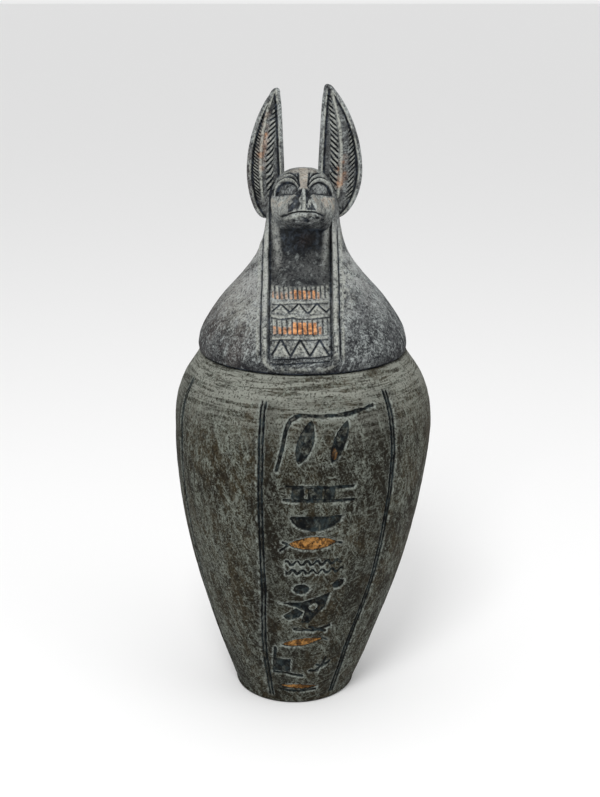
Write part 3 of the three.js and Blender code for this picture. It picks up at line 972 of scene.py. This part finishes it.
def stoneFinish(name, look):
    # Colours laid over one another from the stone up: each layer's share is a noise's range, times an amount.
    material = bpy.data.materials.new(name)
    material.use_nodes = True
    tree = material.node_tree
    tree.nodes.clear()
    place = addNode(tree, "ShaderNodeTexCoord").outputs["Object"]
    split = addNode(tree, "ShaderNodeSeparateXYZ", {0: place})

    def stretched(longer, turn=(0, 0, 0)):  # the pattern grows along its own axes after it is turned
        values = {"Vector": place, "Scale": longer, "Rotation": turn}
        return addNode(tree, "ShaderNodeMapping", values, vector_type="TEXTURE").outputs[0]

    def noise(vector, scale, detail=4, rough=0.55, distort=0.0):  # about 0.5 in the middle
        values = {"Vector": vector, "Scale": scale, "Detail": detail,
                  "Roughness": rough, "Distortion": distort}
        return addNode(tree, "ShaderNodeTexNoise", values).outputs["Fac"]

    def ranged(value, low, high, toLow=0.0, toHigh=1.0):  # an S-curve between two places
        values = {"Value": value, "From Min": low, "From Max": high, "To Min": toLow, "To Max": toHigh}
        return addNode(tree, "ShaderNodeMapRange", values, interpolation_type="SMOOTHSTEP").outputs["Result"]

    def maths(how, a, b):  # one sum, kept from 0 to 1 except where it may be negative
        clamped = how != "SUBTRACT"
        return addNode(tree, "ShaderNodeMath", {0: a, 1: b}, operation=how, use_clamp=clamped).outputs[0]

    def times(a, b):  # a by b
        return maths("MULTIPLY", a, b)

    def mixed(share, a, b):  # that share of colour b over colour a
        return addNode(tree, "ShaderNodeMix", {0: share, 6: a, 7: b}, data_type="RGBA").outputs[2]

    def mark(label):  # a value carved into the mesh
        return addNode(tree, "ShaderNodeAttribute", attribute_name=label).outputs["Fac"]

    cut, ochre, worn, shade = (mark(label) for label in ("cut", "ochre", "worn", "shade"))
    streaks = stretched(look["streak"])
    slanted = stretched(look["slant"], look["slantTurn"])
    cloudy = noise(streaks, look["cloud"], 5, 0.6, 0.8)
    mottle = noise(streaks, look["mottle"], 7, 0.68, 0.6)
    speck = noise(place, look["speck"], 3, 0.6)
    colour = mixed(ranged(cloudy, 0.38, 0.6), look["deep"], look["body"])
    smear = noise(slanted, look["smear"], 6, 0.6, 1.0)
    swept = noise(slanted, look["smear"] * 0.4, 3, 0.5, 0.5)
    hazy = times(ranged(smear, 0.48, 0.56), ranged(swept, 0.42, 0.58, 0.15, 1))
    colour = mixed(times(hazy, look["smearAmount"]), colour, look["haze"])
    dusty = times(ranged(mottle, 0.47, 0.57), ranged(cloudy, 0.36, 0.56, 0.4, 1))
    colour = mixed(times(dusty, look["dustAmount"]), colour, look["dust"])
    islands = noise(streaks, look["island"], 7, 0.62, 1.2)
    colour = mixed(ranged(islands, 0.5, 0.57, 0, look["islandAmount"]), colour, look["deep"])

    # Thin crooked lines where a noise crosses its middle value, and a looser net of cell edges. Each row
    # is a direction, a share of the size, a width and an amount.
    lines = ((slanted, 0.8, 0.018, 0.95), (streaks, 1.6, 0.028, 0.9), (place, 3.6, 0.04, 0.75))
    for space, scale, width, amount in lines:
        field = noise(space, look["vein"] * scale, 4, 0.55, 1.2)
        vein = ranged(maths("ABSOLUTE", maths("SUBTRACT", field, 0.5), 0.0), 0, width, amount, 0)
        vein = times(vein, ranged(smear, 0.42, 0.56, 0.06, look["veinAmount"]))
        colour = mixed(vein, colour, look["pale"])
    values = {"Vector": streaks, "Scale": look["cell"] * 1.5, "Detail": 5.0, "Roughness": 0.6}
    bend = addNode(tree, "ShaderNodeTexNoise", values).outputs["Color"]
    values = {0: bend, 1: (look["bend"],) * 3, 2: streaks}
    bent = addNode(tree, "ShaderNodeVectorMath", values, operation="MULTIPLY_ADD").outputs[0]
    values = {"Vector": bent, "Scale": look["cell"]}
    cells = addNode(tree, "ShaderNodeTexVoronoi", values, feature="DISTANCE_TO_EDGE").outputs["Distance"]
    net = times(ranged(cells, 0.0, 0.16, 1, 0), ranged(mottle, 0.42, 0.6, 0.0, look["cellAmount"]))
    colour = mixed(net, colour, look["dust"])

    # Dust lies thicker high up, in rings round the shoulder, and with it painted light on the top; the foot
    # is darker with painted shade.
    up = split.outputs["Z"]
    high = ranged(up, look["dustAndLightLow"], look["dustAndLightHigh"], 0, look["dustAndLightTop"])
    high = times(high, ranged(up, look["headLow"], look["headHigh"], 1, look["headDustAndLight"]))
    rings = noise(stretched(look["rings"]), 130, 6, 0.7, 0.4)
    colour = mixed(times(high, ranged(rings, 0.42, 0.56, 0.1, 1)), colour, look["topDustAndLight"])
    warm = ranged(split.outputs["X"], look["warmFrom"], look["warmTo"], 0, look["warmAmount"])
    colour = mixed(times(warm, ranged(cloudy, 0.4, 0.6, 0.3, 1)), colour, look["warm"])
    low = ranged(up, look["footHigh"], look["footLow"], 0, look["footShadeAmount"])
    colour = mixed(times(low, ranged(cloudy, 0.6, 0.4, 0.4, 1)), colour, look["deep"])
    colour = mixed(times(shade, look["shadeAmount"]), colour, look["shadow"])

    # Fine scratches in three directions, fewer in the shade.
    for turn, size in (((0, 0.4, 0), 1.0), ((0.2, -0.55, 0.4), 0.8), ((0, 1.35, 0.3), 0.9)):
        hair = noise(stretched((1.0, 1.0, 18.0), turn), look["scratch"] * size, 2, 0.5)
        scored = ranged(hair, 0.6, 0.67, 0, look["scratchAmount"])
        scored = times(scored, ranged(mottle, 0.4, 0.55, 0.1, 1))
        scored = times(scored, ranged(shade, 0.0, 0.9, 1, 0.55))
        colour = mixed(scored, colour, look["pale"])

    # Rubbed edges, then flecks and pocks over everything, and the dirt and paint in the strokes. On the lid
    # the worn mark also holds a painted highlight on the left shoulder, and the cut mark's dark also paints
    # shade under the jaw, on the muzzle, along the opening's inner walls and at the lower edge.
    wear = times(worn, ranged(speck, 0.38, 0.54, 0.35, 1))
    colour = mixed(times(wear, look["wearAmount"]), colour, look["rubbed"])
    flecks = times(ranged(speck, 0.56, 0.66, 0, look["fleckAmount"]), ranged(shade, 0.0, 0.6, 1, 0.15))
    colour = mixed(flecks, colour, look["pale"])
    pocks = times(ranged(speck, 0.47, 0.38, 0, look["pitAmount"]), ranged(worn, 0.0, 0.8, 1, 0.45))
    colour = mixed(pocks, colour, look["deep"])
    gold = mixed(ranged(mottle, 0.42, 0.6), look["ochreDark"], look["ochreLight"])
    paint = times(ranged(ochre, 0.1, 0.7), ranged(speck, 0.34, 0.5, 0.4, 1))
    inkAndShadeColour = mixed(ranged(mottle, 0.45, 0.62), look["inkAndShade"], look["inkAndShadeLight"])
    dirtAndShade = times(ranged(cut, 0.25, 0.9), ranged(paint, 0.3, 0.9, 1, 0.22))
    colour = mixed(paint, colour, gold)
    colour = mixed(dirtAndShade, colour, inkAndShadeColour)

    height = maths("ADD", times(mottle, 0.7), times(speck, 0.2))
    values = {"Height": height, "Strength": look["bump"], "Distance": 0.001}
    relief = addNode(tree, "ShaderNodeBump", values).outputs[0]
    shine = ranged(mottle, 0.35, 0.7, look["gloss"][0], look["gloss"][1])
    values = {"Base Color": colour, "Roughness": shine, "Normal": relief,
              "Specular IOR Level": look["specular"]}
    shader = addNode(tree, "ShaderNodeBsdfPrincipled", values)
    addNode(tree, "ShaderNodeOutputMaterial", {"Surface": shader.outputs[0]})
    return material


# Scales are in noise cells to the metre, heights and the warm side's places in metres.
jarLook = dict(
    streak=(1.0, 1.0, 1.5), slant=(1.0, 1.0, 4.0), slantTurn=(0.0, -0.33, 0.0), rings=(2.5, 2.5, 0.2),
    cloud=38.0, smear=125.0, island=150.0, mottle=320.0, speck=1000.0, vein=130.0, cell=115.0, bend=0.007,
    scratch=620.0,
    deep=srgb(21, 17, 10), body=srgb(47, 40, 26), haze=srgb(57, 57, 48), dust=srgb(42, 39, 29),
    pale=srgb(116, 121, 113), topDustAndLight=srgb(132, 134, 126), rubbed=srgb(138, 144, 138),
    shadow=srgb(17, 16, 12), warm=srgb(66, 58, 44), inkAndShade=srgb(7, 10, 12), inkAndShadeLight=srgb(38, 46, 48),
    ochreDark=srgb(84, 56, 26), ochreLight=srgb(172, 124, 66),
    smearAmount=0.8, dustAmount=0.5, veinAmount=0.85, cellAmount=0.36, islandAmount=0.7, scratchAmount=0.4,
    fleckAmount=0.35, pitAmount=0.7, wearAmount=0.85, shadeAmount=0.81,
    dustAndLightLow=0.140, dustAndLightHigh=0.172, dustAndLightTop=0.85, headLow=0.231, headHigh=0.243, headDustAndLight=0.35,
    footHigh=0.12, footLow=0.0, footShadeAmount=0.3, warmFrom=0.02, warmTo=0.07, warmAmount=0.3,
    bump=1.0, gloss=(0.65, 0.9), specular=0.07,
)
lidLook = dict(
    jarLook,
    streak=(1.0, 1.0, 1.1), slant=(1.0, 1.0, 1.8), slantTurn=(0.0, 0.5, 0.0), rings=(2.0, 2.0, 2.0),
    cloud=30.0, smear=90.0, island=190.0, mottle=380.0, vein=190.0, cell=240.0, bend=0.003,
    deep=srgb(20, 21, 25), body=srgb(57, 58, 60), haze=srgb(102, 105, 106), dust=srgb(94, 96, 97),
    pale=srgb(162, 168, 166), topDustAndLight=srgb(154, 156, 154), rubbed=srgb(160, 162, 154),
    shadow=srgb(8, 10, 14), warm=srgb(92, 79, 71), inkAndShade=srgb(8, 11, 15), inkAndShadeLight=srgb(44, 50, 58),
    ochreDark=srgb(140, 92, 58), ochreLight=srgb(206, 148, 100),
    smearAmount=0.6, dustAmount=0.6, cellAmount=0.3, islandAmount=0.75,
    dustAndLightLow=0.192, dustAndLightHigh=0.218, dustAndLightTop=0.75, footHigh=0.206, footLow=0.178, footShadeAmount=0.65,
    warmFrom=-0.01, warmTo=-0.05, warmAmount=0.6, specular=0.12,
)

# The pieces, their finishes and where they ride.

jarStone = stoneFinish("jarStone", jarLook)
lidStone = stoneFinish("lidStone", lidLook)
pieces = [(makeJar(), "jar", "jar_stone", jarStone)]
print("jar made")
pieces.append((makeBust(), "jackal_lid", "lid_stone", lidStone))
print("bust made")
pieces.append((makeHead(), "jackal_lid", "lid_stone", lidStone))
pieces += [(makeEar(side), "jackal_lid", "lid_stone", lidStone) for side in earSides]
print("head and ears made")
for piece, node, slot, finish in pieces:
    piece.data.materials.clear()
    piece.data.materials.append(finish)
    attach(piece, "root")
    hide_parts(node)

# Floor, light and camera, in metres. Each light is [place, size, power], and aims at the jar's middle.
studio = dict(
    floorReach=300.0,
    paint=0.86,
    sky=0.85,
    aim=(0, 0, 0.15),
    key=((-0.19, -0.82, 1.05), 0.4, 9),
    fill=((0.9, -0.5, 0.8), 0.6, 1.5),
    lens=57.88,
    camera=(-0.0013, -0.6, 0.3365),
    down=17.19,  # degrees
)

floorMesh = bpy.data.meshes.new("floor")
far = studio["floorReach"]
floorMesh.from_pydata([(-far, -far, 0), (far, -far, 0), (far, far, 0), (-far, far, 0)], [], [(0, 1, 2, 3)])
floor = bpy.data.objects.new("floor", floorMesh)
bpy.context.scene.collection.objects.link(floor)
pale = bpy.data.materials.new("paleFloor")
pale.use_nodes = True
paint = pale.node_tree.nodes["Principled BSDF"]
paint.inputs["Base Color"].default_value = (studio["paint"],) * 3 + (1,)
paint.inputs["Roughness"].default_value = 0.9
floorMesh.materials.append(pale)

world = bpy.data.worlds.new("studio")
world.use_nodes = True
sky = world.node_tree.nodes["Background"]
sky.inputs["Color"].default_value = (1, 1, 1, 1)
sky.inputs["Strength"].default_value = studio["sky"]
bpy.context.scene.world = world


def areaLight(name):  # a square lamp, turned from straight down by the tilt and the bearing of its aim
    place, size, power = studio[name]
    lamp = bpy.data.lights.new(name, "AREA")
    lamp.size = size
    lamp.energy = power
    made = bpy.data.objects.new(name, lamp)
    bpy.context.scene.collection.objects.link(made)
    made.location = place
    aim = np.array(studio["aim"]) - np.array(place)
    tilt = math.acos(-aim[2] / np.linalg.norm(aim))
    made.rotation_euler = (tilt, 0, math.atan2(aim[1], aim[0]) - math.pi / 2)


areaLight("key")
areaLight("fill")

lens = bpy.data.cameras.new("camera")
lens.lens = studio["lens"]
lens.sensor_width = 36
lens.clip_start = 0.01
camera = bpy.data.objects.new("camera", lens)
bpy.context.scene.collection.objects.link(camera)
camera.location = studio["camera"]
camera.rotation_euler = (math.radians(90 - studio["down"]), 0, 0)
bpy.context.scene.camera = camera
bpy.context.scene.view_settings.view_transform = "Standard"
print("stage set")
